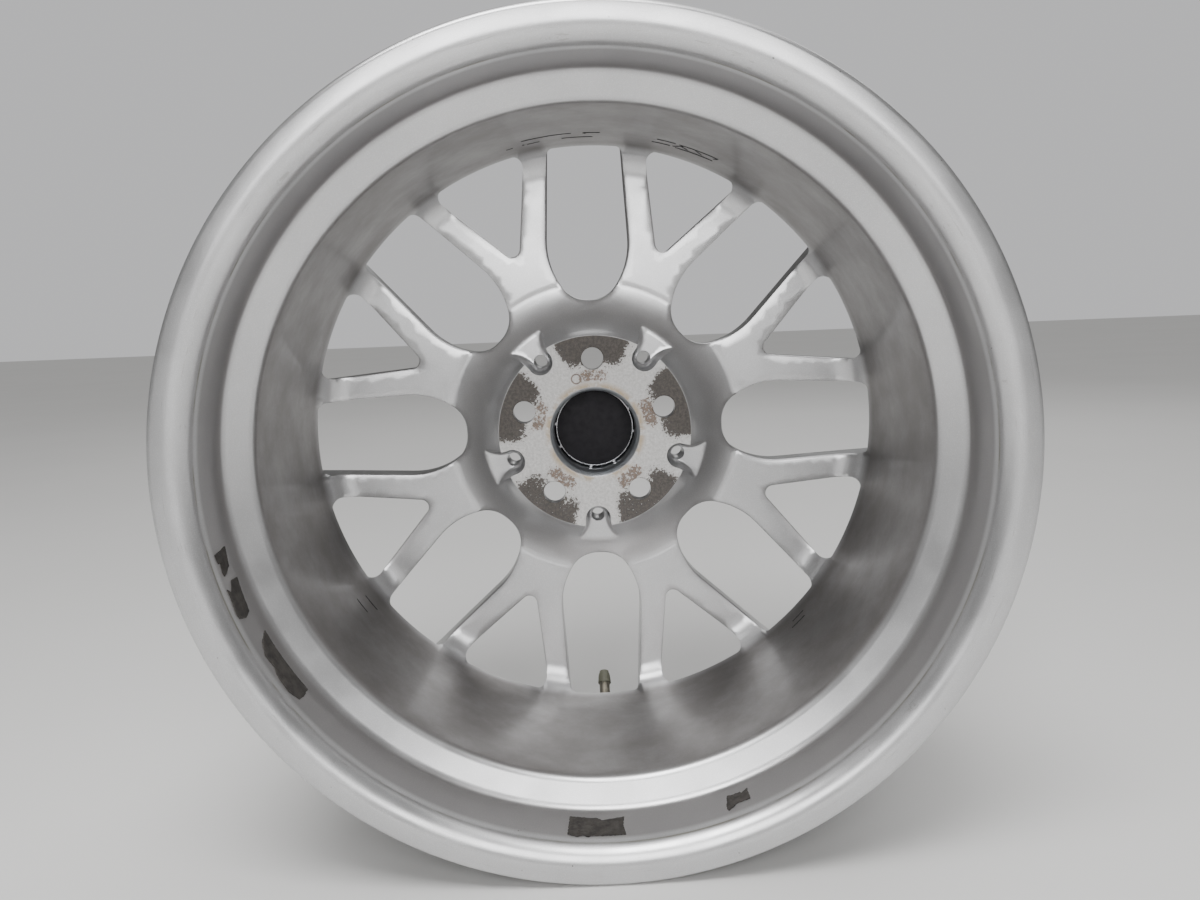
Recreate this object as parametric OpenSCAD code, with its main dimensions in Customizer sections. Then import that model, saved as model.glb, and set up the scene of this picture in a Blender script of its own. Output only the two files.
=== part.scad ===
// One-piece forged racing wheel, 17 x 7.5 inch, with its tyre valve, its centre cap and
// the tape left behind by old balance weights. Millimetres.
// The wheel stands upright. Its axle lies along Y, the mounting side faces -Y, the kerb side
// faces +Y, +Z is up, and the origin is the middle of the rim.
// Profiles are lists of [radius, place along the axle].

/* [Rim] */
// Width over the two flanges
rim_w = 216; // [214:0.5:218]
// Diameter over the flanges
flange_d = 471.6; // [470:0.2:473]
// Diameter of the bead seats
seat_d = 436.6; // [436:0.1:437]
// Width between the inner faces of the flanges
bead_w = 190.5; // [189:0.5:192]
// Inner diameter of the barrel beside the spokes
barrel_id = 383.8; // [382:0.2:385]
// Thickness of the barrel wall
barrel_t = 4.2; // [4:0.1:5]

/* [Spokes] */
// Number of Y-shaped spokes
spoke_count = 8; // [7:1:8]
// Place of the spokes' flat rear face along the axle
spoke_rear_y = 73.5; // [72:0.5:75]
// Depth of a spoke from its rear face to its front face
spoke_depth = 22.5; // [21:0.5:25]
// Radius of the fillet between the spokes and the barrel
root_fillet = 20; // [18:0.5:22]
// Radius of the windows' outer edge
window_outer_r = 190.5; // [189.5:0.25:191]
// Radius of the inner end of the large windows
large_inner_r = 89.5; // [88:0.5:92]
// Half the greatest width of a large window
large_half_w = 28.3; // [26:0.1:29]
// Radius of the rounded tip of the small windows
small_inner_r = 130.5; // [128:0.5:134]

/* [Hub] */
// Place of the mounting face along the axle, which is the wheel's offset
offset_y = 50; // [49:0.5:51]
// Diameter of the mounting face
pad_d = 131.4; // [130:0.2:133]
// Diameter of the hub bore
bore_d = 56.1; // [56:0.05:56.2]
// Number of wheel bolts
bolt_count = 5; // [5:1:5]
// Diameter of the bolt circle
bolt_pcd = 100; // [98:1:102]
// Diameter of the bolt holes
bolt_hole_d = 15; // [14:0.5:15.5]
// Diameter of the circle of the small holes between the bolts
relief_pcd = 120; // [119:0.5:121]
// Diameter of the small holes
relief_hole_d = 9; // [8:0.5:10]

/* [Valve] */
// Diameter of the valve hole
valve_hole_d = 11.3; // [11.3:0.1:11.5]
// Lean of the valve from the axle towards the middle of the wheel, in degrees
valve_lean = 45; // [43:1:47]
// Length of the valve from the rim to its open end
valve_out = 22.9; // [22:0.1:24]
// Length of the valve cap
valve_cap_l = 10; // [9:0.5:11]

/* [Centre cap] */
// Diameter of the cap's rim
cap_d = 60.8; // [60:0.2:61]
// Number of clips
cap_clips = 4; // [4:1:4]

/* [Tape] */
// Thickness of the foam tape
tape_t = 0.8; // [0.5:0.1:1.2]
// Thickness of the thin tape edges
trace_t = 0.3; // [0.2:0.1:0.5]

/* [Hidden] */
$fn = 96;

half_w = rim_w / 2;
flange_r = flange_d / 2;
seat_r = seat_d / 2;
bead_y = bead_w / 2;
barrel_r = barrel_id / 2;
pad_r = pad_d / 2;
bore_r = bore_d / 2;
spoke_front_y = spoke_rear_y + spoke_depth;
hub_front_y = offset_y + 37;

// ---- points and helpers ----

// Points on an arc round [x, y], from angle a to angle b, in n steps
function arc(x, y, r, a, b, n = 8) =
    [for (i = [0:n]) [x + r * cos(a + (b - a) * i / n), y + r * sin(a + (b - a) * i / n)]];
function flipped(points) = [for (i = [len(points) - 1:-1:0]) [-points[i][0], points[i][1]]];

// Turns a shape about the axle Y
module spun(start = 0, sweep = 360) {
    rotate([-90, 0, 0]) rotate([0, 0, -start - sweep]) rotate_extrude(angle = sweep) children();
}
// Extrudes an outline that is drawn in the wheel's own XZ plane from y0 to y1
module along_axle(y0, y1) {
    translate([0, y1, 0]) rotate([90, 0, 0]) linear_extrude(y1 - y0) children();
}
module ring_of(count, radius, first = 0) {
    for (i = [0:count - 1]) rotate([0, first + i * 360 / count, 0]) translate([0, 0, radius]) children();
}
module bar(y0, y1, r0, r1 = undef) {
    translate([0, y0, 0]) rotate([-90, 0, 0])
        cylinder(h = y1 - y0, r1 = r0, r2 = r1 == undef ? r0 : r1);
}

// ---- rim ----

flange_round = 8.5;      // top of a flange, on the tyre's side
flange_edge = 3;         // outer edge of a flange
seat_fillet = 6.5;       // corner between flange and bead seat
rear_lip_r = 214.4;      // inner edge of the rear lip
rear_lip_round = 13.3;   // roll of the rear lip
front_lip_r = 212.2;     // inner edge of the front lip
front_lip_round = 11.8;  // roll of the front lip
rear_step_y = -68.4;     // where the rear seat turns down to the barrel
rear_step_r = 211.5;
barrel_rear_y = -59.2;
barrel_rear_r = 194.6;
root_y = spoke_rear_y - root_fillet;     // where the fillet leaves the barrel wall
root_r = barrel_r - root_fillet;
window_edge_a = acos((window_outer_r - root_r) / root_fillet);
window_edge_y = root_y + root_fillet * sin(window_edge_a);
flare_r = 208;           // outer end of the slope outside the windows
flare_y = window_edge_y + flare_r - window_outer_r;

// Inner radius of the barrel at a place along the axle
function barrel_r_at(y) = barrel_rear_r
    + (barrel_r - barrel_rear_r) * (y - barrel_rear_y) / (root_y - barrel_rear_y);
// Inner radius under the rear bead seat
function rear_seat_r_at(y) = rear_step_r + (rear_lip_r - rear_step_r) * (y - rear_step_y) / (-99 - rear_step_y);

// One half of the tyre's side: flange and bead seat, for the side that faces s (1 front, -1 rear)
function flange_outline(s) = concat(
    [for (p = arc(flange_r - flange_edge, half_w - flange_edge, flange_edge, 90, 0, 4)) [p[0], s * p[1]]],
    [for (p = arc(flange_r - flange_round, bead_y + flange_round, flange_round, 0, -90, 6))
        [p[0], s * p[1]]],
    [for (p = arc(seat_r + seat_fillet, bead_y - seat_fillet, seat_fillet, 90, 180, 5))
        [p[0], s * p[1]]],
    [[seat_r - 1, s * 80], [seat_r - 0.2, s * 78.3], [seat_r - 1, s * 76.6]]);
function reversed(points) = [for (i = [len(points) - 1:-1:0]) points[i]];

rim_outline = concat(
    [[rear_lip_r, -99], [rear_step_r, rear_step_y], [barrel_rear_r, barrel_rear_y]],
    arc(root_r, root_y, root_fillet, 0, window_edge_a, 3),
    [[flare_r, flare_y], [211, flare_y + 4], [front_lip_r, flare_y + 9]],
    arc(front_lip_r + front_lip_round, half_w - front_lip_round, front_lip_round, 180, 90, 6),
    flange_outline(1),
    [[seat_r - 2.5, 75], [barrel_r + barrel_t + 2, 58.5], [barrel_r + barrel_t, 55],
        [barrel_rear_r + barrel_t, -55.5], [seat_r - 4, -63.5]],
    reversed(flange_outline(-1)),
    arc(227, -half_w + rear_lip_round, rear_lip_round, -90, -161, 6));

// ---- disc: hub, bowl and spokes before the windows are cut ----

bore_chamfer = 2.8;
cap_seat_y = hub_front_y - 4;
cap_bore_y = offset_y + 16;    // from here forwards the bore is a little wider for the cap
cap_bore_r = bore_r + 0.55;
cap_recess_r = 30.8;
bowl_r = 49.9;                 // the bowl between hub pad and spokes
bowl_x = 108.8;
bowl_y = 24.7;
ridge_r = 103.5;               // faint ridge where the bowl meets the spokes

disc_outline = concat(
    [[bore_r, offset_y + bore_chamfer], [bore_r + bore_chamfer, offset_y],
        [pad_r, offset_y], [pad_r + 1.5, offset_y + 1.8]],
    arc(bowl_x, bowl_y, bowl_r, 145, 99, 8),
    [[ridge_r, spoke_rear_y]],
    arc(root_r, root_y, root_fillet, 90, 8, 8),
    [[barrel_r + 1.6, root_y + 2.5], [201, flare_y - 10], [208.5, flare_y - 2], [213.6, flare_y + 8],
        [213.6, 94.5], [200, spoke_front_y - 1.6], [178, spoke_front_y], [128, spoke_front_y],
        [108, spoke_front_y - 2], [90, spoke_front_y - 5.6], [74, hub_front_y], [cap_recess_r, hub_front_y],
        [cap_recess_r, cap_seat_y], [cap_bore_r, cap_seat_y], [cap_bore_r, cap_bore_y + 0.5],
        [bore_r, cap_bore_y]]);

// ---- windows ----

corner_r = 5;           // corners at the outer end of every window
nose_r = 21;            // inner end of a large window
side_r = 53;            // swelling side of a large window
widest_r = 129;         // radius at which a large window is widest
large_taper = 2.9;      // a large window's sides close outwards by this angle
small_flare = 27.7;     // a small window's sides open outwards by this angle
tip_r = 5.5;            // rounded tip of a small window

side_x = large_half_w - side_r;
nose_z = large_inner_r + nose_r;
nose_x = side_x + sqrt(pow(side_r - nose_r, 2) - pow(widest_r - nose_z, 2));
join_a = atan2(nose_z - widest_r, nose_x - side_x);   // nose and side arcs share this direction
tip_z = small_inner_r + tip_r;

// Centre of the corner between the outer edge, at radius edge, and a straight side that passes
// through [x, z] and leans outwards by angle a
function corner(x, z, a, edge) =
    let (px = x - corner_r * cos(a), pz = z + corner_r * sin(a),
        along = px * sin(a) + pz * cos(a),
        t = sqrt(pow(edge - corner_r, 2) - px * px - pz * pz + along * along) - along)
    [px + t * sin(a), pz + t * cos(a)];
// Outer end of a window: half of the rounded corner and of the outer edge
function outer_end(x, z, a, edge) =
    let (c = corner(x, z, a, edge), out = atan2(c[1], c[0]))
    concat(arc(c[0], c[1], corner_r, -a, out, 4), [for (i = [1:4])
        edge * [cos(out + (90 - out) * i / 4), sin(out + (90 - out) * i / 4)]]);

// Half the width of each window at a distance z from the axle, along its straight sides
function large_half_at(z) = large_half_w - 0.07 - (z - widest_r - 2.68) * tan(large_taper);
function small_half_at(z) = tip_r * cos(small_flare) + (z - tip_z + tip_r * sin(small_flare)) * tan(small_flare);
// The right half of each window, from its inner end to its outer edge
function large_half(edge) = concat(
    arc(nose_x, nose_z, nose_r, -90, join_a, 6),
    arc(side_x, widest_r, side_r, join_a, large_taper, 6),
    outer_end(large_half_at(widest_r), widest_r, -large_taper, edge));
function small_half(edge) = concat(
    arc(0, tip_z, tip_r, -90, -small_flare, 4),
    outer_end(small_half_at(tip_z), tip_z, small_flare, edge));

module windows(large, small) {
    for (i = [0:spoke_count - 1]) {
        rotate(i * 360 / spoke_count) polygon(concat(large, flipped(large)));
        rotate((i + 0.5) * 360 / spoke_count) polygon(concat(small, flipped(small)));
    }
}
// Where the rim slopes outwards in front of the windows' outer edge, clear of the spokes' roots
flare_z = [window_outer_r - 8, flare_r + 8];
module flares() {
    windows([for (z = flare_z) [large_half_at(z) - corner_r, z]],
        [for (z = flare_z) [small_half_at(z) - corner_r, z]]);
}

// ---- hub details ----

seat_start_y = offset_y + 9;   // start of the cone that a bolt seats on
seat_r_big = 12;
seat_end_y = seat_start_y + (seat_r_big - bolt_hole_d / 2) / tan(30);
socket_r = 13.5;               // well for the socket wrench
pocket_floor_y = offset_y + 14;
pocket_nose_r = 7.3;
pocket_tip = [17, 76.4];
pocket_side_r = 16;
pocket_side = [23.25, 61.67];
relief_r = relief_pcd / 2;

// Fan-shaped pocket behind a small hole: round nose, hollow sides, tips where the floor
// runs out into the bowl
pocket_half = concat(
    arc(0, relief_r, pocket_nose_r, -90, 4, 8),
    arc(pocket_side[0], pocket_side[1], pocket_side_r,
        184, atan2(pocket_tip[1] - pocket_side[1], pocket_tip[0] - pocket_side[0]), 6),
    [[14, 84], [0, 86]]);

module hub_cuts() {
    ring_of(bolt_count, bolt_pcd / 2) {
        bar(offset_y - 5, seat_end_y, bolt_hole_d / 2);
        bar(seat_start_y, seat_end_y, bolt_hole_d / 2, seat_r_big);
        bar(seat_end_y, hub_front_y + 5, socket_r);
    }
    ring_of(bolt_count, relief_r, 180 / bolt_count)
        bar(pocket_floor_y - 5, hub_front_y + 5, relief_hole_d / 2);
    along_axle(offset_y - 5, pocket_floor_y)
        for (i = [0:bolt_count - 1]) rotate((i + 0.5) * 360 / bolt_count)
            polygon(concat(pocket_half, flipped(pocket_half)));
}

// ---- valve ----

// The valve leaves the slope beside the lowest window. Its own Z runs outwards along the stem
// from the flat that its washer sits on.
valve_wall = 6.4;        // rim thickness between the two flats
valve_flat_d = 19;
valve_seat = [0, 75.6, -206.1];
module at_valve() {
    translate(valve_seat) rotate([-valve_lean, 0, 0]) children();
}
module tube(z0, z1, r, hole = 0) {
    translate([0, 0, z0]) difference() {
        cylinder(h = z1 - z0, r = r);
        if (hole > 0) translate([0, 0, -1]) cylinder(h = z1 - z0 + 2, r = hole);
    }
}
module valve_cut() {
    at_valve() {
        tube(-valve_wall - 10, 10, valve_hole_d / 2);
        tube(0, 8, valve_flat_d / 2);
        tube(-valve_wall - 8, -valve_wall, valve_flat_d / 2);
    }
}

// ---- the forging ----

module wheel_forging() {
    color([0.72, 0.73, 0.75]) difference() {
        union() {
            spun() polygon(rim_outline);
            difference() {
                spun() polygon(disc_outline);
                along_axle(offset_y, half_w) windows(large_half(window_outer_r), small_half(window_outer_r));
                along_axle(offset_y, half_w) flares();
            }
        }
        hub_cuts();
        valve_cut();
    }
}

// ---- centre cap ----

cap_r = cap_d / 2;
cup_r = 26.4;
cup_y = cap_seat_y - 8;
clip_sweep = 38;
clip_first = -9;         // direction of the first clip's start, from +X
tab_sweep = 3.2;

module centre_cap_shell() {
    color([0.05, 0.05, 0.06]) union() {
        spun() polygon([[0, cup_y], [cup_r, cup_y], [cup_r, cap_seat_y + 0.2], [cap_r, cap_seat_y + 0.2],
            [cap_r, cap_seat_y + 2.6], [cap_r - 1, cap_seat_y + 3.6], [28.6, cap_seat_y + 3.6],
            [28.6, cap_seat_y + 2.2], [24.4, cap_seat_y + 2.2], [24.4, cup_y + 1.8], [0, cup_y + 1.8]]);
        for (i = [0:cap_clips - 1])
            spun(clip_first + i * 360 / cap_clips, clip_sweep) polygon([[cup_r - 0.4, cup_y + 2.5],
                [27.6, cup_y + 2.5], [28.3, cup_y + 4.5], [27.6, cup_y + 7],
                [27.6, cap_seat_y + 0.5], [cup_r - 0.4, cap_seat_y + 0.5]]);
    }
}
module centre_cap_clip_ring() {
    color([0.8, 0.8, 0.82]) union() {
        spun() polygon([[cup_r, cup_y + 0.6], [27, cup_y + 0.6], [27, cup_y + 2.2], [cup_r, cup_y + 2.2]]);
        for (i = [0:cap_clips - 1], e = [0, 1])
            spun(clip_first + i * 360 / cap_clips + e * (clip_sweep - tab_sweep), tab_sweep)
                polygon([[26.8, cup_y + 0.6], [28.2, cup_y + 0.6], [28.2, cup_y + 2.2], [26.8, cup_y + 2.2]]);
    }
}
module centre_cap_adhesive() {
    color([0.85, 0.85, 0.8]) spun()
        polygon([[0, cap_seat_y + 2.2], [28.3, cap_seat_y + 2.2], [28.3, cap_seat_y + 2.7],
            [0, cap_seat_y + 2.7]]);
}
module centre_cap_face() {
    color([0.75, 0.76, 0.78]) spun()
        polygon([[0, cap_seat_y + 2.7], [28.3, cap_seat_y + 2.7], [28.3, cap_seat_y + 3.6],
            [26, cap_seat_y + 4.3], [20, cap_seat_y + 4.9], [10, cap_seat_y + 5.3], [0, cap_seat_y + 5.4]]);
}

// ---- valve parts, in the valve's own frame ----

washer_t = 1.2;
nut_t = 5;
stem_r = 3.85;
chamber_r = 2.65;        // takes the valve core
core_top = valve_out - 0.8;
core_foot = core_top - 11;
pin_travel = 1.2;
pin_r = 0.5;
cap_base = valve_out - 5.9;
cap_thread_top = valve_out + 0.95;

module valve_stem() {
    color([0.62, 0.6, 0.52]) at_valve() difference() {
        rotate_extrude() polygon([[0, -12.8], [7.75, -12.8], [7.75, -10.6], [4.15, -10.6], [4.15, 8],
            [stem_r, 8.5], [stem_r, valve_out - 0.5], [stem_r - 0.5, valve_out], [0, valve_out]]);
        tube(-13, 8, 1.5);
        tube(core_foot - 6, valve_out + 1, chamber_r);
    }
}
module valve_grommet() {
    color([0.08, 0.08, 0.08]) at_valve() rotate_extrude()
        polygon([[4.15, -10.6], [8.5, -10.6], [9, -10], [8.6, -valve_wall], [5.6, -valve_wall],
            [5.6, -2], [4.15, -2]]);
}
module valve_washer() {
    color([0.7, 0.7, 0.68]) at_valve() tube(0, washer_t, 8, 4.25);
}
module valve_nut() {
    color([0.6, 0.6, 0.58]) at_valve() difference() {
        translate([0, 0, washer_t]) cylinder(h = nut_t, r = 12 / sqrt(3), $fn = 6);
        translate([0, 0, washer_t - 1]) cylinder(h = nut_t + 2, r = 4.2);
    }
}
module valve_core_plug() {
    color([0.75, 0.65, 0.35]) at_valve() difference() {
        rotate_extrude() polygon([[0, core_foot], [1.9, core_foot], [1.9, core_foot + 2],
            [1.6, core_foot + 2], [1.6, core_foot + 3.6], [2.1, core_foot + 3.6],
            [2.1, core_top - 4], [2.6, core_top - 4], [2.6, core_top], [0, core_top]]);
        tube(core_foot - 1, core_top + 1, pin_r + 0.05);
        tube(core_foot + 1.5, core_top - 1.5, 1.35);
    }
}
module valve_core_seal() {
    color([0.1, 0.1, 0.1]) at_valve() tube(core_foot + 2, core_foot + 3.6, 2.6, 1.6);
}
// The pin runs through the plug. Its collar takes the spring, and its foot holds the seal.
module valve_core_pin() {
    color([0.8, 0.72, 0.4]) at_valve() rotate_extrude() polygon([[0, core_foot - 2.2],
        [1.8, core_foot - 2.2], [1.8, core_foot - 0.9], [pin_r, core_foot - 0.9],
        [pin_r, core_top - 2.6], [1.2, core_top - 2.6], [1.2, core_top - 1.9],
        [pin_r, core_top - 1.9], [pin_r, core_top + 0.4], [0, core_top + 0.4]]);
}
module valve_pin_seal() {
    color([0.12, 0.12, 0.12]) at_valve() tube(core_foot - 0.9, core_foot, 1.8, pin_r);
}

spring_wire = 0.12;
spring_r = 0.9;
spring_turns = 7;
spring_steps = 12;       // rings in one turn
spring_sides = 6;
spring_z0 = core_foot + 1.5 + spring_wire;
spring_z1 = core_top - 2.6 - spring_wire;
module valve_core_spring() {
    rings = spring_turns * spring_steps;
    points = [for (i = [0:rings], j = [0:spring_sides - 1])
        let (a = i * 360 / spring_steps, b = j * 360 / spring_sides,
            r = spring_r + spring_wire * cos(b))
        [r * cos(a), r * sin(a), spring_z0 + (spring_z1 - spring_z0) * i / rings + spring_wire * sin(b)]];
    sides = [for (i = [0:rings - 1], j = [0:spring_sides - 1])
        let (k = i * spring_sides, n = (j + 1) % spring_sides)
        [k + j, k + spring_sides + j, k + spring_sides + n, k + n]];
    ends = [[for (j = [0:spring_sides - 1]) j],
        [for (j = [spring_sides - 1:-1:0]) rings * spring_sides + j]];
    color([0.7, 0.7, 0.7]) at_valve() polyhedron(points, concat(sides, ends));
}
module valve_cap() {
    color([0.35, 0.35, 0.3]) at_valve() difference() {
        rotate_extrude() polygon([[0, cap_base], [4.6, cap_base], [4.75, cap_base + 0.4],
            [4.75, cap_base + 1.6], [4.55, cap_base + 2], [4.45, cap_thread_top + 0.3],
            [3.5, cap_thread_top + 1.2], [3.3, cap_base + valve_cap_l - 0.5],
            [2.8, cap_base + valve_cap_l], [0, cap_base + valve_cap_l]]);
        tube(cap_base - 1, cap_thread_top, stem_r + 0.06);
    }
}
module valve_cap_seal() {
    color([0.1, 0.1, 0.1]) at_valve() tube(valve_out + 0.1, valve_out + 0.85, 3.5, 1);
}

// ---- tape ----

// [start angle from +X towards +Z, sweep, rear edge, front edge] under the rear bead seat
weight_tapes = [[-169.5, 4, -93, -80], [-164.5, 6, -94, -78], [-155, 11.5, -92, -76],
    [-97, 9, -94, -75], [-72, 4, -91, -77]];
// the same for the thin edges of older tape on the barrel wall
tape_traces = [[87, 18, 22, 38], [64, 13, 22, 36], [-47, 4, 38, 48], [-148, 5, 22, 40]];
trace_w = 2.2;

module weight_tape(p) {
    color([0.2, 0.2, 0.19]) spun(p[0], p[1]) polygon([[rear_seat_r_at(p[2]), p[2]],
        [rear_seat_r_at(p[3]), p[3]], [rear_seat_r_at(p[3]) - tape_t, p[3]],
        [rear_seat_r_at(p[2]) - tape_t, p[2]]]);
}
module tape_trace(p) {
    color([0.12, 0.12, 0.12]) for (y = [p[2], p[3] - trace_w])
        spun(p[0], p[1]) polygon([[barrel_r_at(y), y], [barrel_r_at(y + trace_w), y + trace_w],
            [barrel_r_at(y + trace_w) - trace_t, y + trace_w], [barrel_r_at(y) - trace_t, y]]);
}

wheel_forging();
centre_cap_shell();
centre_cap_clip_ring();
centre_cap_adhesive();
centre_cap_face();
valve_stem();
valve_grommet();
valve_washer();
valve_nut();
valve_core_plug();
valve_core_seal();
valve_core_spring();
valve_core_pin();
valve_pin_seal();
valve_cap();
valve_cap_seal();
for (i = [0:4])
    weight_tape(weight_tapes[i]);
for (i = [0:3])
    tape_trace(tape_traces[i]);
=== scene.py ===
"""Looks of the forged wheel, standing upright on a pale floor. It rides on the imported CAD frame."""
import math
import random

import bmesh
import bpy
import numpy as np
from mathutils import Matrix, Vector
from mathutils.geometry import delaunay_2d_cdt


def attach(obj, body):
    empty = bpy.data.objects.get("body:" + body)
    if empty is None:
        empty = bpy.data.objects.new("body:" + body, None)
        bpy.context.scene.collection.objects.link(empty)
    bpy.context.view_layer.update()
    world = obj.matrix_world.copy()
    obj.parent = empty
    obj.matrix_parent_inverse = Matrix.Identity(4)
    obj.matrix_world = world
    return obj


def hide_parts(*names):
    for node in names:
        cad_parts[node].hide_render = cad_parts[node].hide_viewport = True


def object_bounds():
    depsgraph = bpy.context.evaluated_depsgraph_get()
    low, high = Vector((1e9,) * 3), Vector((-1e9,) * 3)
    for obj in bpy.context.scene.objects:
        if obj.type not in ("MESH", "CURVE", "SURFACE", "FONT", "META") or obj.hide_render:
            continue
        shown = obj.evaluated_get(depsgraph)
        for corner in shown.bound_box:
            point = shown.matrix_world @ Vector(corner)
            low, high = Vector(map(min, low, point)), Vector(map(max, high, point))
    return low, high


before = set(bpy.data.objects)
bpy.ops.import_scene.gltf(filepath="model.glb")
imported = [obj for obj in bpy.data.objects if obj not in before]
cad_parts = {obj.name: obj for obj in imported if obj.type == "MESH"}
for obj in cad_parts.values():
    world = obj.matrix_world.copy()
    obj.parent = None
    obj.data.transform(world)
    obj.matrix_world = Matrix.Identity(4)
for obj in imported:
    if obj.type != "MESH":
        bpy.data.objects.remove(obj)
cad_low, cad_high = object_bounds()
scene = bpy.context.scene
MM = 0.001


# ---- camera ----

def make_camera():
    """A wide lens 0.62 m behind the wheel, a little above its axle and looking slightly down."""
    data = bpy.data.cameras.new("camera")
    data.lens, data.sensor_width = 29.73, 36.0
    cam = bpy.data.objects.new("camera", data)
    scene.collection.objects.link(cam)
    pan, tilt, roll = (math.radians(v) for v in (-0.75, -8.34, 2.23))
    turn = Matrix.Rotation(pan, 3, "Z") @ Matrix.Rotation(tilt, 3, "X") @ Matrix.Rotation(roll, 3, "Y")
    right, forward, up = turn.col
    basis = Matrix((right, up, -forward)).transposed().to_4x4()
    cam.matrix_world = Matrix.Translation(Vector((-5.9, -619.6, 85.7)) * MM) @ basis
    scene.camera = cam


make_camera()


# ---- sizes of the forging, in millimetres: radius and place along the axle ----

SPOKES = 8
PAD_Y, PAD_R, BORE_R, CHAMFER_R, MOUTH_R = 50.0, 65.7, 28.05, 30.85, 31.2
SPOKE_Y, HUB_FRONT_Y = 73.5, 87.0
ROOT_R, ROOT_Y, ROOT_FILLET = 171.9, 53.5, 20.0
BARREL_R, EDGE_R, LIP_R = 191.9, 190.5, 212.2
BOWL = (108.8, 24.7, 49.9)
RIDGE_R = 103.5
BOLT_R, RELIEF_R, POCKET_Y, POCKET_ANGLE = 50.0, 60.0, 64.0, 54.0
POCKET_NOSE, POCKET_SIDE, POCKET_SIDE_R, POCKET_WALL = 8.6, (24.6, 60.8), 16.0, 4.2
# the front face's height and the rim's slope behind it, as (radius, y)
FRONT = ((30.8, 87), (74, 87), (90, 90.4), (108, 94), (128, 96), (178, 96), (200, 94.4), (213.6, 94.5))
FLARE = ((180, 50.35), (190.5, 60.85), (206, 76.35), (209.2, 79.9), (211, 82.9), (211.9, 85.6),
         (212.2, 87.6))
SIDE_FILLET, FLARE_RISE = 5.0, 12.2
REAR_ROUND, FRONT_ROUND = 1.1, 3.2
VALVE_SEAT = Vector((0, 75.6, -206.1))
COLUMNS, WALL_ROWS = 384, 4


def arc(cx, cy, r, a, b, n):
    t = np.radians(np.linspace(a, b, n + 1))
    return np.c_[cx + r * np.cos(t), cy + r * np.sin(t)]


def polar(r, degrees):
    t = np.radians(degrees)
    return np.c_[r * np.cos(t), r * np.sin(t)]


def turned(points, degrees):
    c, s = math.cos(math.radians(degrees)), math.sin(math.radians(degrees))
    return points @ np.array([[c, s], [-s, c]])


def quarter(t):
    """A quarter round: 1 at t = 0, where it is steep, and 0 from t = 1 on."""
    return 1 - np.sqrt(1 - (1 - np.clip(t, 0, 1)) ** 2)


def pocket_depth(x, z):
    """How far a point is inside the fan-shaped pocket nearest to it."""
    r = np.hypot(x, z)
    a = np.radians((np.degrees(np.arctan2(z, x)) - POCKET_ANGLE + 36) % 72 - 36)
    u, v = np.abs(r * np.sin(a)), r * np.cos(a)
    nose = POCKET_NOSE - np.hypot(u, v - RELIEF_R)
    side = np.hypot(u - POCKET_SIDE[0], v - POCKET_SIDE[1]) - POCKET_SIDE_R
    return np.where(v < RELIEF_R + 0.3, nose, np.where(u < POCKET_SIDE[0], side, -1.0))


def rear_y(x, z):
    """The rear face of hub and spokes: pad, bowl, ridge, flat spokes, root fillet and pockets."""
    r = np.hypot(x, z)
    bx, by, br = BOWL
    start = bx + br * math.cos(math.radians(145)), by + br * math.sin(math.radians(145))
    end = bx + br * math.cos(math.radians(99)), by + br * math.sin(math.radians(99))
    y = np.interp(r, [PAD_R, PAD_R + 1.5, start[0]], [PAD_Y, PAD_Y + 1.8, start[1]])
    bowl = by + np.sqrt(np.maximum(br ** 2 - (r - bx) ** 2, 0))
    y = np.where(r > start[0], bowl, y)
    y = np.where(r > end[0], np.interp(r, [end[0], RIDGE_R], [end[1], SPOKE_Y]), y)
    fillet = ROOT_Y + np.sqrt(np.maximum(ROOT_FILLET ** 2 - (r - ROOT_R) ** 2, 0))
    y = np.where(r > ROOT_R, fillet, y)
    d = pocket_depth(x, z)
    floor = POCKET_Y - (POCKET_Y - PAD_Y) * quarter(d / POCKET_WALL)
    return np.where((d > 0) & (r < 90), np.maximum(y, floor), y)


def front_y(r):
    rs, ys = zip(*FRONT)
    return sum(np.interp(r + o, rs, ys) for o in (-7, -4.5, -2, 2, 4.5, 7)) / 6


def front_round(r):
    return np.interp(r, [74, 110, 196, LIP_R], [1.6, FRONT_ROUND, FRONT_ROUND, 0])


def flare_y(r, u):
    """The rim's slope in front of a window's outer edge, at a distance u from the nearer spoke."""
    base = np.interp(r, *zip(*FLARE))
    rise = np.clip(front_y(r) - front_round(r) - 1.2 - base, 0.5, FLARE_RISE)
    return base + rise * quarter(u / SIDE_FILLET)


# ---- window outlines, each drawn round +Z and then turned into place ----

CORNER_R, NOSE_R, SIDE_R, WIDEST_R, HALF_W = 5.0, 21.0, 53.0, 129.0, 28.3
TAPER, SPREAD, TIP_R, TIP_Z = 2.9, 27.7, 5.5, 136.0


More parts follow.
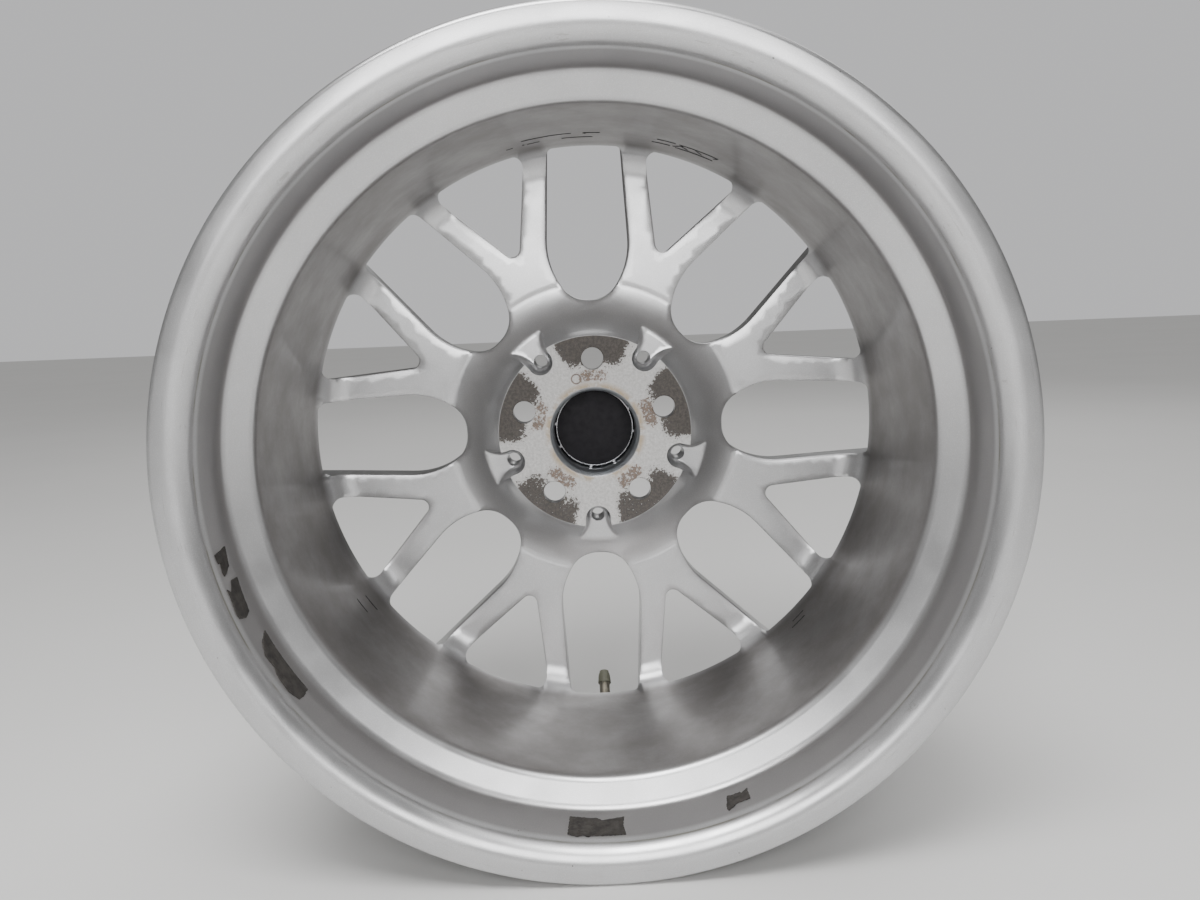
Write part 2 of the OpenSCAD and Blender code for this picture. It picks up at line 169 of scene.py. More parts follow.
class Window:
    """Right half of one kind of window, from its inner end (z low) to its outer edge."""

    def __init__(self, large):
        if large:
            side_x, nose_z = HALF_W - SIDE_R, 89.5 + NOSE_R
            nose_x = side_x + math.sqrt((SIDE_R - NOSE_R) ** 2 - (WIDEST_R - nose_z) ** 2)
            join = math.degrees(math.atan2(nose_z - WIDEST_R, nose_x - side_x))
            lean, x, z = -TAPER, HALF_W - 0.07 + 2.68 * math.tan(math.radians(TAPER)), WIDEST_R
            inner = np.vstack([arc(nose_x, nose_z, NOSE_R, -90, join, 14),
                               arc(side_x, WIDEST_R, SIDE_R, join, TAPER, 12)[1:]])
            inner[0, 0] = 0.0
        else:
            lean, z = SPREAD, TIP_Z
            s = math.radians(SPREAD)
            x = TIP_R * math.cos(s) + TIP_R * math.sin(s) * math.tan(s)
            inner = arc(0, TIP_Z, TIP_R, -90, -SPREAD, 8)
        a = math.radians(lean)
        self.out, self.along = np.array([math.cos(a), -math.sin(a)]), np.array([math.sin(a), math.cos(a)])
        self.side = self.out @ np.array([x, z])
        p = np.array([x, z]) - CORNER_R * self.out
        reach = p @ self.along
        t = math.sqrt((EDGE_R - CORNER_R) ** 2 - p @ p + reach ** 2) - reach
        centre = p + t * self.along
        stop = math.degrees(math.atan2(centre[1], centre[0]))
        start = centre + CORNER_R * self.out
        first = inner[-1]
        n = max(2, round(np.linalg.norm(start - first) / 3.2))
        line = first + (start - first) * np.linspace(0, 1, n + 1)[1:, None]
        self.inner = np.vstack([inner, line])
        corner = arc(*centre, CORNER_R, -lean, stop, 6)[1:]
        step = 360 / COLUMNS
        edge = np.arange(math.ceil((stop + 0.3) / step) * step, 90 + step / 2, step)
        self.outer = np.vstack([corner, polar(EDGE_R, edge)])
        rows = [r for r in (188.2, 190.5, 193, 196, 199, 202, 205, 207.5, 209.5, 211, 211.8, LIP_R)
                if r > np.linalg.norm(start) + 1]
        self.extension = np.array([self.on_side(r) for r in rows])
        self.lip_angle = math.degrees(math.atan2(self.extension[-1, 1], self.extension[-1, 0]))
        # the straight run bows out by a hair, so that no three of its points are in line
        for part in (self.inner[-n - 1:], self.extension[:-1]):
            s = (part @ self.along - first @ self.along) / ((self.extension[-1] - first) @ self.along)
            part += (0.12 * s * (1 - s))[:, None] * self.out

    def on_side(self, r, u=0.0):
        """The point at radius r whose distance into the window from the side line is u."""
        c = self.side - u
        return c * self.out + math.sqrt(r * r - c * c) * self.along

    def depth(self, p):
        """Distance into the window from the nearer side line, for points round +Z."""
        return self.side - np.c_[np.abs(p[:, 0]), p[:, 1]] @ self.out


LARGE, SMALL = Window(True), Window(False)
PLACES = [(LARGE, 45.0 * k) for k in range(SPOKES)] + [(SMALL, 45.0 * k + 22.5) for k in range(SPOKES)]


def mirrored(points):
    return np.c_[-points[::-1, 0], points[::-1, 1]]


def lathe_angles():
    """Angles of the rim's columns: even steps, and one at each point where a spoke's side meets the lip."""
    marks = sorted((side * (w.lip_angle - 90) + 90 + turn) % 360 for w, turn in PLACES for side in (1, -1))
    even = np.arange(COLUMNS) * 360 / COLUMNS
    gap = np.abs((even[:, None] - np.array(marks)[None] + 180) % 360 - 180).min(1)
    return np.sort(np.r_[even[gap > 0.22], marks])


ANGLES = lathe_angles()


# ---- shells: points and faces gathered patch by patch, then joined where they meet ----

class Shell:
    """Points in millimetres and the faces between them."""

    def __init__(self):
        self.points, self.faces, self.count = [], [], 0

    def add(self, points, faces):
        self.points.append(np.asarray(points, float))
        self.faces += [[i + self.count for i in f] for f in faces]
        self.count += len(points)

    def rows(self, rows, closed):
        """Quads between rows of points, each an (n, 3) array."""
        n = len(rows[0])
        faces = [(k * n + i, k * n + (i + 1) % n, (k + 1) * n + (i + 1) % n, (k + 1) * n + i)
                 for k in range(len(rows) - 1) for i in range(n if closed else n - 1)]
        self.add(np.vstack(rows), faces)

    def patch(self, points, lines, keep):
        """Triangles over points as seen along the axle. lines are rows of point numbers that stay edges."""
        edges = [(a, b) for line in lines for a, b in zip(line, line[1:])]
        flat = [Vector((p[0], p[2])) for p in points]
        out = delaunay_2d_cdt(flat, edges, [], 0, 1e-6)
        fixed = {tuple(sorted(e)) for e, origin in zip(out[1], out[4]) if origin}
        beside, group = {}, list(range(len(out[2])))

        def root(t):
            while group[t] != t:
                group[t] = group[group[t]]
                t = group[t]
            return t

        for t, f in enumerate(out[2]):
            for a, b in zip(f, [*f[1:], f[0]]):
                e = (a, b) if a < b else (b, a)
                if e in beside and e not in fixed:
                    group[root(t)] = root(beside[e])
                beside[e] = t
        tri = np.array([[out[3][i][0] for i in f] for f in out[2]])
        corner = np.asarray(points)[tri]
        a, b = corner[:, 1] - corner[:, 0], corner[:, 2] - corner[:, 0]
        area = np.abs(a[:, 0] * b[:, 2] - a[:, 2] * b[:, 0])
        mid = corner.mean(1)
        groups = np.array([root(t) for t in range(len(tri))])
        votes = np.where(keep(mid[:, 0], mid[:, 2]), area, -area)
        tri = tri[np.bincount(groups, votes, len(tri))[groups] > 0]
        used, tri = np.unique(tri, return_inverse=True)
        self.add(np.asarray(points)[used], tri.reshape(-1, 3).tolist())

    def object(self, name, sharp=38, merge=2e-6):
        mesh = bpy.data.meshes.new(name)
        mesh.from_pydata((np.vstack(self.points) * MM).tolist(), [], self.faces)
        return finish_mesh(mesh, name, sharp, merge)


def finish_mesh(mesh, name, sharp=38, merge=2e-6):
    bm = bmesh.new()
    bm.from_mesh(mesh)
    bmesh.ops.remove_doubles(bm, verts=bm.verts, dist=merge)
    bmesh.ops.dissolve_degenerate(bm, edges=bm.edges, dist=merge / 2)
    bmesh.ops.recalc_face_normals(bm, faces=bm.faces)
    loose = [v for v in bm.verts if not v.link_faces]
    bmesh.ops.delete(bm, geom=loose, context="VERTS")
    open_edges = sum(1 for e in bm.edges if len(e.link_faces) != 2)
    if open_edges:
        print("OPEN EDGES", name, open_edges)
    bm.to_mesh(mesh)
    bm.free()
    mesh.shade_smooth()
    mesh.set_sharp_from_angle(angle=math.radians(sharp))
    obj = bpy.data.objects.new(name, mesh)
    scene.collection.objects.link(obj)
    return obj


class Sheet:
    """Points of one face of the disc: outlines that stay edges, and free points between them."""

    def __init__(self, height):
        self.height, self.points, self.lines, self.count = height, [], [], 0

    def put(self, flat, y=None, line=False, closed=False):
        y = self.height(flat[:, 0], flat[:, 1]) if y is None else y
        p = np.c_[flat[:, 0], y, flat[:, 1]]
        self.points.append(p)
        if line:
            ids = list(range(self.count, self.count + len(p)))
            self.lines.append(ids + ids[:1] if closed else ids)
        self.count += len(p)
        return p

    def clear(self, flat, gap):
        """Which points are at least gap from every point so far."""
        have = np.vstack(self.points)[:, [0, 2]]
        ok = np.ones(len(flat), bool)
        for s in range(0, len(flat), 400):
            part = flat[s:s + 400]
            near = np.min(np.sum((part[:, None] - have[None]) ** 2, -1), 1)
            ok[s:s + 400] = near > gap ** 2
        return ok

    def fill(self, flat, gap):
        """Adds free points where there is room for them."""
        ok = self.clear(flat, gap)
        if ok.any():
            self.put(flat[ok])

    def rings(self, radii, spacing, gap=None):
        for k, r in enumerate(radii):
            n = max(8, round(2 * math.pi * r / spacing))
            self.fill(polar(r, (np.arange(n) + 0.5 * (k % 2)) * 360 / n), gap or spacing * 0.62)


def inside_outline(x, z, window, turn, extended):
    """Whether points lie in a window, as an (n,) mask."""
    p = turned(np.c_[x, z], -turn)
    outline = window.inner_outline if not extended else window.long_outline
    q = np.c_[np.abs(p[:, 0]), p[:, 1]]
    r = np.hypot(q[:, 0], q[:, 1])
    half = np.interp(q[:, 1], outline[:, 1], outline[:, 0], left=-1.0, right=1e3)
    return (q[:, 0] < half) & (p[:, 1] > 0) & (r < (LIP_R if extended else EDGE_R))


for w in (LARGE, SMALL):
    w.inner_outline = np.vstack([w.inner, w.outer[:6]])
    w.long_outline = np.vstack([w.inner, w.extension])


def hole_places():
    """Axis, number of columns and profile (radius, y) from the front to the rear of each hub hole."""
    front = HUB_FRONT_Y
    bolt = ((13.9, front), (13.5, front - 0.4), (13.5, 67.3), (13.1, 66.8), (12.0, 66.8), (7.5, 59.0),
            (7.5, PAD_Y + 0.4), (7.9, PAD_Y))
    relief = ((4.9, front), (4.5, front - 0.4), (4.5, POCKET_Y + 0.4), (4.8, POCKET_Y))
    for k in range(5):
        yield polar(BOLT_R, 90 + 72 * k)[0], 48, bolt
    for k in range(5):
        yield polar(RELIEF_R, POCKET_ANGLE + 72 * k)[0], 32, relief


def outline_rows(pts, radius_of, fractions):
    """Rows of points beside a window's side, set back into the solid. Each comes with its rise."""
    ahead = np.gradient(pts, axis=0)
    out = np.c_[ahead[:, 1], -ahead[:, 0]]
    out /= np.linalg.norm(out, axis=1)[:, None]
    out[0] = (0, -1)
    radius = radius_of(pts)
    for f in fractions:
        yield pts + out * (radius * f)[:, None], radius * quarter(f), radius


def ring_rows(centre, degrees, profile):
    """Rows of points round an axis along the wheel's, for a profile of (radius, y)."""
    rows = []
    for r, y in profile:
        flat = polar(r, degrees) + centre
        rows.append(np.c_[flat[:, 0], np.full(len(flat), y), flat[:, 1]])
    return rows


def add_bore(shell, rear, front):
    """The stepped hub bore: a wider mouth for the cap at the front, and a chamfer at the pad."""
    profile = ((MOUTH_R, HUB_FRONT_Y), (30.8, HUB_FRONT_Y - 0.4), (30.8, 83), (28.6, 83), (28.6, 66.5),
               (BORE_R, 66), (BORE_R, 53.1), (28.3, 52.5), (30.5, 50.2), (CHAMFER_R + 0.1, PAD_Y))
    rows = ring_rows((0, 0), np.arange(120) * 3.0, profile)
    shell.rows(rows, True)
    front.put(rows[0][:, [0, 2]], rows[0][:, 1], True, True)
    rear.put(rows[-1][:, [0, 2]], rows[-1][:, 1], True, True)


def add_holes(shell, rear, front):
    """Bolt holes with cone seats and socket wells, and the small holes between them."""
    for centre, n, profile in hole_places():
        rows = ring_rows(centre, np.arange(n) * 360 / n, profile)
        front.put(rows[0][:, [0, 2]], rows[0][:, 1], True, True)
        rows[-1] = rear.put(rows[-1][:, [0, 2]], None, True, True)
        shell.rows(rows, True)
        yield centre, profile[0][0], profile[-1][0]


def add_rounding(sheet, points, turn, radius_of, height, fractions, sign):
    """Rows beside both sides of a window's outline, where its edge is rounded."""
    for row, rise, radius in outline_rows(points, radius_of, fractions):
        far = radius > 0.2
        far[0] = True
        other = mirrored(row)[:-1], rise[::-1][:-1], far[::-1][:-1]
        for part, part_rise, mask in ((row, rise, far), other):
            if sign < 0:
                mask = mask & (np.hypot(part[:, 0], part[:, 1]) < LIP_R - 0.8)
            flat = turned(part[mask], turn)
            sheet.put(flat, height(flat) + sign * part_rise[mask])


def rear_height(p):
    return rear_y(*p.T)


def front_height(p):
    return front_y(np.hypot(*p.T))


def add_window(shell, rear, front, w, turn):
    """One window: rear and front outlines with rounded edges, its wall, and the rim's slope before it."""
    end = w.inner[-1]

    def rear_radius(p):
        share = np.clip(np.linalg.norm(p - end, axis=1) / 9, 0, 1)
        return REAR_ROUND * share * (p[:, 1] <= end[1] + 1e-6)

    def front_radius(p):
        return front_round(np.hypot(*p.T))

    outline = np.vstack([w.inner, w.outer])
    outline = np.vstack([outline, mirrored(outline)[1:-1]])
    low = rear_height(turned(w.inner, turn)) + rear_radius(w.inner)
    y = np.r_[low, rear_height(turned(w.outer, turn))]
    rear.put(turned(outline, turn), np.r_[y, y[::-1][1:-1]], True, True)
    w.edge_y = y[len(w.inner) - 1:]
    add_rounding(rear, w.inner, turn, rear_radius, rear_height, (0.3, 1.0), 1)

    side = np.vstack([w.inner, w.extension])
    full = turned(np.vstack([mirrored(side)[:-1], side]), turn)
    high = front_height(turned(side, turn)) - front_radius(side)
    front.put(full, np.r_[high[::-1][:-1], high], True)
    add_rounding(front, side, turn, front_radius, front_height, (0.08, 0.3, 0.6, 1.0), -1)

    # wall of the window and of the slot that carries on to the lip
    low = np.r_[low, flare_y(np.hypot(*w.extension.T), 0.0)]
    low, high = np.r_[low[::-1][:-1], low], np.r_[high[::-1][:-1], high]
    shell.rows([np.c_[full[:, 0], low + (high - low) * k / WALL_ROWS, full[:, 1]]
                for k in range(WALL_ROWS + 1)], False)
    build_flare(shell, w, turn)


def build_forging():
    """Rim, hub and spokes as one closed shell."""
    shell = Shell()
    rear = Sheet(rear_y)
    front = Sheet(lambda x, z: front_y(np.hypot(x, z)))

    # the rim, turned about the axle from the front lip round the tyre's side to the barrel
    shell.rows(ring_rows((0, 0), ANGLES, rim_profile()), True)
    rear.put(polar(BARREL_R, ANGLES), np.full(len(ANGLES), ROOT_Y), True, True)
    add_bore(shell, rear, front)
    holes = list(add_holes(shell, rear, front))
    for w, turn in PLACES:
        add_window(shell, rear, front, w, turn)

    # front outline along the lip, from the left end of each window to the right end of the next
    for w, turn in PLACES:
        other = SMALL if w is LARGE else LARGE
        steps = arc_angles(180 - w.lip_angle + turn, other.lip_angle + turn + 22.5)
        front.put(polar(LIP_R, steps), np.full(len(steps), float(front_y(LIP_R))), True)

    fill_rear(rear)
    fill_front(front)

    def solid(x, z, extended):
        r = np.hypot(x, z)
        ok = (r > (MOUTH_R if extended else CHAMFER_R + 0.1)) & (r < (LIP_R if extended else BARREL_R))
        for w, turn in PLACES:
            ok &= ~inside_outline(x, z, w, turn, extended)
        for centre, front_hole, rear_hole in holes:
            ok &= np.hypot(x - centre[0], z - centre[1]) > (front_hole if extended else rear_hole) * 0.999
        return ok

    shell.patch(np.vstack(rear.points), rear.lines, lambda x, z: solid(x, z, False))
    shell.patch(np.vstack(front.points), front.lines, lambda x, z: solid(x, z, True))
    return shell


def arc_angles(a0, a1):
    """The rim's column angles from a0 to a1, both ends included."""
    rel = (ANGLES - a0 + 1e-4) % 360
    span = (a1 - a0) % 360
    picked = np.sort(rel[rel <= span + 2e-4])
    return a0 + picked - 1e-4


def barrel_r(y):
    """Inner radius of the barrel wall."""
    return 194.6 - (194.6 - BARREL_R) * (y + 59.2) / (59.2 + ROOT_Y)


def seat_r(y):
    """Inner radius under the rear bead seat."""
    return 211.5 - (214.4 - 211.5) * (y + 68.4) / (99 - 68.4)


def rim_profile():
    """Section of the rim as (radius, y), from the front lip over the tyre's side and back inside."""
    front_lip = np.vstack([[(LIP_R, float(front_y(LIP_R)))], arc(224, 96.2, 11.8, 180, 90, 9)])
    flange = np.vstack([arc(232.71, 105, 3, 90, 0, 4), arc(227.21, 103.75, 8.5, 0, -90, 6),
                        arc(224.8, 88.75, 6.5, 90, 180, 5), [(217.3, 80.3), (218.1, 78.3), (217.3, 76.6)]])
    outside = softened([(217.3, 76.6), (215.8, 75), (198.1, 58.5), (196.1, 55), (196.8, 28), (197.5, 0),
                        (198.1, -28), (198.8, -55.5), (214.3, -63.5), (217.3, -76.6)], 2.0)[1:-1]
    rear_lip = arc(227, -94.7, 13.3, -90, -161, 12)
    wall = [(barrel_r(y), y) for y in (-40, -22, -4, 16, 36)]
    steps = softened([tuple(rear_lip[-1]), (214.3, -98), (211.5, -68.4), (194.6, -59.2), *wall,
                      (BARREL_R, ROOT_Y)], 4.0, 3)[1:]
    return np.vstack([front_lip, flange, outside, flange[::-1] * (1, -1), rear_lip, steps])


def softened(points, cut, n=2):
    """A profile whose sharp corners are cut by short curves."""
    points = [np.array(p, float) for p in points]
    out = [points[0]]
    for a, b, c in zip(points, points[1:], points[2:]):
        u, v = a - b, c - b
        lu, lv = np.linalg.norm(u), np.linalg.norm(v)
        bend = math.degrees(math.acos(np.clip(-(u @ v) / lu / lv, -1, 1)))
        size = min(cut, lu * 0.45, lv * 0.45)
        if bend < 8:
            out.append(b)
            continue
        p, q = b + u / lu * size, b + v / lv * size
        out += [(1 - t) ** 2 * p + 2 * t * (1 - t) * b + t * t * q for t in np.linspace(0, 1, n + 1)]
    return np.array(out + [points[-1]])


def build_flare(shell, w, turn):
    """The rim's slope in front of one window, from the window's outer edge to the lip."""
    sheet = Sheet(None)
    end = w.extension[-1]
    a0, a1 = w.lip_angle, 180 - w.lip_angle
    lip = polar(LIP_R, arc_angles(a0 + turn, a1 + turn) - turn)
    lip[0], lip[-1] = end, mirrored(w.extension)[0]
    start = w.inner[-1]
    edge = np.vstack([[start], w.outer])
    # from the lip along the side and the corner to the middle of the outer edge
    right = np.vstack([w.extension[::-1], edge])
    ring = np.vstack([right, mirrored(right)[1:], lip[1:-1][::-1]])
    side_y = flare_y(np.hypot(*w.extension.T), 0.0)[::-1]
    right_y = np.r_[side_y, w.edge_y]
    lip_low = flare_y(np.full(len(lip), LIP_R), np.maximum(w.depth(lip), 0))
    lip_low[0] = lip_low[-1] = side_y[0]
    ys = np.r_[right_y, right_y[::-1][1:], lip_low[1:-1][::-1]]
    sheet.put(ring, ys, True, True)
    for r in (189.2, 191.7, 193.5, 196, 199, 202, 205, 207.5, 209.5, 211, 211.8):
        row = [w.on_side(r, u) for u in (0.25, 0.8, 1.7, 3.0, 4.6)] if r < 211.5 else []
        a = math.degrees(math.atan2(*w.on_side(r, 5.5)[::-1]))
        n = max(2, round(math.radians(90 - a) * r / 3.6))
        row += list(polar(r, a + (90 - a) * np.arange(n) / n))
        row = np.array(row)
        if r < EDGE_R + 0.1:
            row = row[w.depth(row) < 1.2]
        middle = [polar(r, [90.0])] if r > EDGE_R + 0.1 else []
        both = np.vstack([row, mirrored(row), *middle])
        both = both[sheet.clear(both, 0.35) & (w.depth(both) > 0.1)]
        if len(both):
            sheet.put(both, flare_y(np.hypot(*both.T), w.depth(both)))

    def keep(x, z):
        return (np.hypot(x, z) < LIP_R) & (w.depth(np.c_[x, z]) > 0) & ~inside_outline(x, z, w, 0.0, False)

    flat = Shell()
    flat.patch(np.vstack(sheet.points), sheet.lines, keep)
    p = flat.points[0]
    xz = turned(p[:, [0, 2]], turn)
    shell.add(np.c_[xz[:, 0], p[:, 1], xz[:, 1]], flat.faces)
    # the lip's wall above the slope
    top = float(front_y(LIP_R))
    xz = turned(lip, turn)
    shell.rows([np.c_[xz[:, 0], lip_low + (top - lip_low) * k / WALL_ROWS, xz[:, 1]]
                for k in range(WALL_ROWS + 1)], False)


def fill_rear(sheet):
    """Free points of the rear face, close together where it bends."""
    for k in range(5):
        turn = POCKET_ANGLE + 72 * k - 90
        for d in (-0.45, 0.0, 0.12, 0.4, 0.9, 1.6, 2.4, 3.3, POCKET_WALL):
            half = np.vstack([arc(0, RELIEF_R, POCKET_NOSE - d, -90, 1.9, 14),
                              arc(*POCKET_SIDE, POCKET_SIDE_R + d, 181.9, 112, 20)[1:]])
            both = np.vstack([mirrored(half)[:-1], half])
            both = both[np.hypot(*both.T) < 78.0]
            if d == 0.0:
                sheet.put(turned(both, turn), None, True)
            else:
                sheet.fill(turned(both, turn), 0.1 if d < 0.5 else 0.3)
        sheet.fill(turned(polar(78.05, np.linspace(78, 102, 30)), turn), 0.4)
    sheet.rings((PAD_R, PAD_R + 1.5, 67.92), 1.4, 0.7)
    bowl = [BOWL[0] + BOWL[2] * math.cos(math.radians(a)) for a in np.linspace(142, 99, 14)]
    sheet.rings(bowl, 2.8, 1.3)
    sheet.rings((102.2, RIDGE_R, 105), 2.2, 0.9)
    sheet.rings(np.arange(34, 65, 4.5), 4.5)
    sheet.rings(np.arange(109, 170, 4.5), 4.5)
    root = [ROOT_R + ROOT_FILLET * math.sin(math.radians(a)) for a in (*range(0, 57, 8), 63)]
    sheet.rings(root, 3.0, 1.3)


def fill_front(sheet):
    sheet.rings(np.arange(35, 72, 5.5), 5.5)
    sheet.rings(np.arange(74, 208, 4.2), 4.2, 2.2)


def cut_valve_hole(obj):
    """The valve's hole through the slope under the lowest window, with its two flats."""
    axis = Vector((0, 1, 1)).normalized()
    turn = axis.to_track_quat("Z", "X").to_matrix().to_4x4()
    bm = bmesh.new()
    for z0, z1, r in ((-16.0, 8.0, 5.65), (0.0, 8.0, 9.5), (-14.0, -6.4, 9.5)):
        place = Matrix.Translation(VALVE_SEAT * MM) @ turn @ Matrix.Translation((0, 0, (z0 + z1) / 2 * MM))
        bmesh.ops.create_cone(bm, cap_ends=True, segments=48, radius1=r * MM, radius2=r * MM,
                              depth=(z1 - z0) * MM, matrix=place)
    mesh = bpy.data.meshes.new("cutter")
    bm.to_mesh(mesh)
    bm.free()
    cutter = bpy.data.objects.new("cutter", mesh)
    scene.collection.objects.link(cutter)
    mod = obj.modifiers.new("cut", "BOOLEAN")
    mod.operation, mod.solver, mod.object, mod.use_self = "DIFFERENCE", "EXACT", cutter, True
    deps = bpy.context.evaluated_depsgraph_get()
    made = bpy.data.meshes.new_from_object(obj.evaluated_get(deps))
    obj.modifiers.clear()
    obj.data = made
    bpy.data.objects.remove(cutter)
    made.set_sharp_from_angle(angle=math.radians(38))


# ---- materials ----

class Paint:
    """Builds one node material. Inputs are sockets or plain numbers."""

    def __init__(self, name, colour, metallic=0.0, roughness=0.5, **extra):
        self.material = bpy.data.materials.new(name)
        self.material.use_nodes = True
        self.tree = self.material.node_tree
        self.shader = self.tree.nodes["Principled BSDF"]
        self.place = self.tree.nodes.new("ShaderNodeTexCoord").outputs["Object"]
        self.set("Base Color", colour)
        self.set("Metallic", metallic)
        self.set("Roughness", roughness)
        for key, value in extra.items():
            self.set(key.replace("_", " "), value)

    def set(self, name, value):
        self.feed(self.shader.inputs[name], value)

    def feed(self, socket, value):
        if isinstance(value, bpy.types.NodeSocket):
            self.tree.links.new(value, socket)
        elif isinstance(value, tuple):
            socket.default_value = (*value, 1.0)[:len(socket.default_value)]
        else:
            socket.default_value = value

    def math(self, kind, *values):
        node = self.tree.nodes.new("ShaderNodeMath")
        node.operation = kind
        for socket, value in zip(node.inputs, values):
            self.feed(socket, value)
        return node.outputs[0]

    def step(self, value, low, high, to_low=0.0, to_high=1.0):
        """Smoothly from to_low at low to to_high at high."""
        node = self.tree.nodes.new("ShaderNodeMapRange")
        node.interpolation_type = "SMOOTHSTEP"
        for socket, v in zip(node.inputs, (value, low, high, to_low, to_high)):
            self.feed(socket, v)
        return node.outputs[0]

    def band(self, value, a, b, soft):
        """1 between a and b, and 0 outside."""
        rise, fall = self.step(value, a - soft, a + soft), self.step(value, b - soft, b + soft, 1.0, 0.0)
        return self.math("MULTIPLY", rise, fall)

    def mix(self, factor, a, b):
        node = self.tree.nodes.new("ShaderNodeMix")
        node.data_type = "RGBA"
        self.feed(node.inputs[0], factor)
        self.feed(node.inputs[6], a)
        self.feed(node.inputs[7], b)
        return node.outputs[2]

    def noise(self, scale, detail=3.0, rough=0.5, where=None, warp=0.0):
        node = self.tree.nodes.new("ShaderNodeTexNoise")
        self.feed(node.inputs["Vector"], where or self.place)
        for name, v in (("Scale", scale), ("Detail", detail), ("Roughness", rough), ("Distortion", warp)):
            node.inputs[name].default_value = v
        return node.outputs["Fac"]

    def axes(self):
        node = self.tree.nodes.new("ShaderNodeSeparateXYZ")
        self.feed(node.inputs[0], self.place)
        return node.outputs

    def bump(self, height, distance, strength=1.0):
        node = self.tree.nodes.new("ShaderNodeBump")
        node.inputs["Strength"].default_value = strength
        node.inputs["Distance"].default_value = distance
        self.feed(node.inputs["Height"], height)
        self.tree.links.new(node.outputs[0], self.shader.inputs["Normal"])


def wheel_place(p):
    """Radius and place along the axle in millimetres, and the direction round the axle in radians."""
    x, y, z = p.axes()
    r = p.math("SQRT", p.math("ADD", p.math("MULTIPLY", x, x), p.math("MULTIPLY", z, z)))
    return p.math("MULTIPLY", r, 1000.0), p.math("MULTIPLY", y, 1000.0), p.math("ARCTAN2", z, x)


def along_turning(p, r, y, a, fine):
    """Coordinates for marks that run round the axle: slow in that direction, fine across it."""
    node = p.tree.nodes.new("ShaderNodeCombineXYZ")
    p.feed(node.inputs[0], p.math("MULTIPLY", p.math("COSINE", a), 9.0))
    p.feed(node.inputs[1], p.math("MULTIPLY", p.math("SINE", a), 9.0))
    p.feed(node.inputs[2], p.math("MULTIPLY", p.math("ADD", r, y), fine))
    return node.outputs[0]


def pad_colour(p, r, y, a, grain):
    """The bare worn hub pad: its mask, its colour and where it is dirty."""
    both, plus = lambda *v: p.math("MULTIPLY", *v), lambda *v: p.math("ADD", *v)
    flat = both(p.step(r, 30.4, 31.2), p.step(r, 65.2, 65.9, 1.0, 0.0))
    pad = both(p.step(y, 50.25, 50.7, 1.0, 0.0), flat)
    # whitish oxide, dark dirt round the bolt holes and the outer edge, rust-brown further in
    bolts = p.math("COSINE", both(p.math("SUBTRACT", a, math.radians(18)), 5.0))
    coarse = p.noise(75.0, 5.0, 0.68, warp=0.6)
    worn = plus(both(coarse, 0.55), both(grain, 1.1))
    spread = both(p.step(bolts, -0.9, 0.1), p.step(r, 36.0, 57.0))
    uneven = p.step(p.math("SINE", plus(a, 0.3)), -1.0, 0.6, 0.8, 1.0)
    dirt = p.step(plus(worn, both(both(spread, uneven), 0.55)), 1.06, 1.13)
    inner = both(p.step(bolts, -0.4, 0.7), p.band(r, 34.0, 44.0, 2.5))
    rust = p.step(plus(worn, both(inner, 0.33)), 1.08, 1.16)
    # a round mark above the bore
    x, _, z = p.axes()
    dx, dz = (p.math("SUBTRACT", both(v, 1000.0), c) for v, c in ((x, -11.4), (z, 36.6)))
    ring = p.math("SQRT", plus(both(dx, dx), both(dz, dz)))
    rust = p.math("MAXIMUM", rust, p.band(ring, 2.7, 3.6, 0.3))
    stain = both(p.step(r, 36.0, 31.5), p.step(coarse, 0.38, 0.55))
    colour = p.mix(p.step(grain, 0.3, 0.7), (0.50, 0.49, 0.475), (0.70, 0.69, 0.68))
    colour = p.mix(both(stain, 0.7), colour, (0.42, 0.29, 0.14))
    brown = p.mix(p.step(grain, 0.4, 0.6), (0.055, 0.024, 0.010), (0.17, 0.095, 0.05))
    black = p.mix(p.step(grain, 0.4, 0.62), (0.018, 0.012, 0.008), (0.052, 0.038, 0.027))
    return pad, p.mix(both(dirt, 0.93), p.mix(both(rust, 0.85), colour, brown), black), dirt


def scuffed_lip(p, colour, r, y, a):
    """Fine marks that follow the turning, dark specks, and an olive line at the lip's inner edge."""
    both = lambda *v: p.math("MULTIPLY", *v)
    lip = p.step(y, -96.0, -99.5)
    marks = p.noise(1.0, 6.0, 0.75, where=along_turning(p, r, y, a, 1.6))
    scratch = both(lip, p.step(marks, 0.60, 0.66))
    specks = both(p.step(y, -88.0, -97.0), p.step(p.noise(210.0, 2.0, 0.5), 0.755, 0.79))
    olive = both(p.band(y, -99.6, -98.6, 0.4), p.step(p.noise(25.0, 4.0, 0.6), 0.42, 0.6))
    colour = p.mix(both(scratch, 0.45), colour, (0.30, 0.29, 0.28))
    colour = p.mix(both(specks, 0.8), colour, (0.06, 0.055, 0.05))
    return p.mix(both(olive, 0.55), colour, (0.20, 0.19, 0.10))


